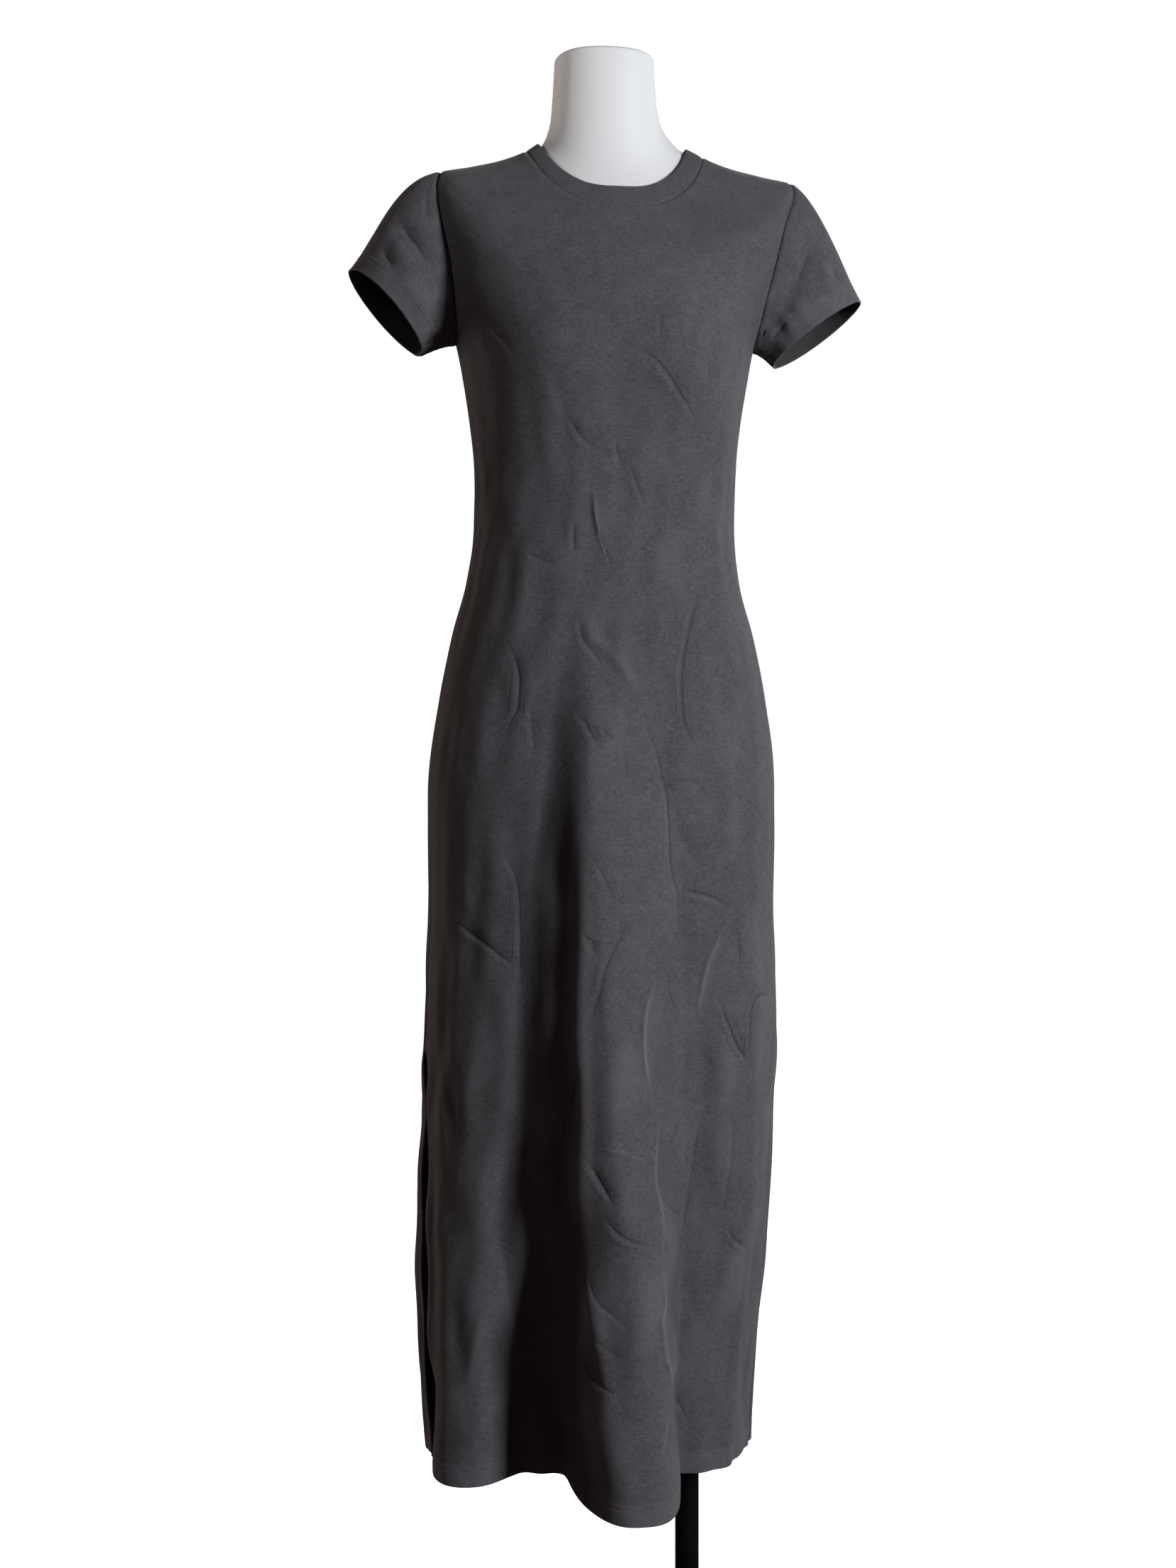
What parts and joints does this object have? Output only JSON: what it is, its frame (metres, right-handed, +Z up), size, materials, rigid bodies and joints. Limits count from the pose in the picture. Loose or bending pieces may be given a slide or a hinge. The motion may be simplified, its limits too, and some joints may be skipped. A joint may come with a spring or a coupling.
{
  "type": "t-shirt maxi dress on a limbless dress form with a pole stand",
  "caption": "Ankle-length crew-neck T-shirt dress with short sleeves and a side slit, worn by a smooth limbless dress form on a pole with a round base.",
  "frame": {"origin": "centre of the underside of the stand's round base, on the floor", "axes": "+Z up along the body, -Y the way the dress faces, +X towards the wearer's left"},
  "size_m": [0.4921, 0.38, 1.539],
  "materials": {
    "jersey": "matt cotton interlock jersey",
    "form": "smooth satin white",
    "stand": "satin black"
  },
  "bodies": {
    "root": {"front": "jersey", "back": "jersey", "sleeve_right": "jersey", "sleeve_left": "jersey", "neckband": "jersey", "dress_form": "form", "form_socket": "stand", "pole": "stand", "base_socket": "stand", "base_plate": "stand"}
  },
  "joints": []
}
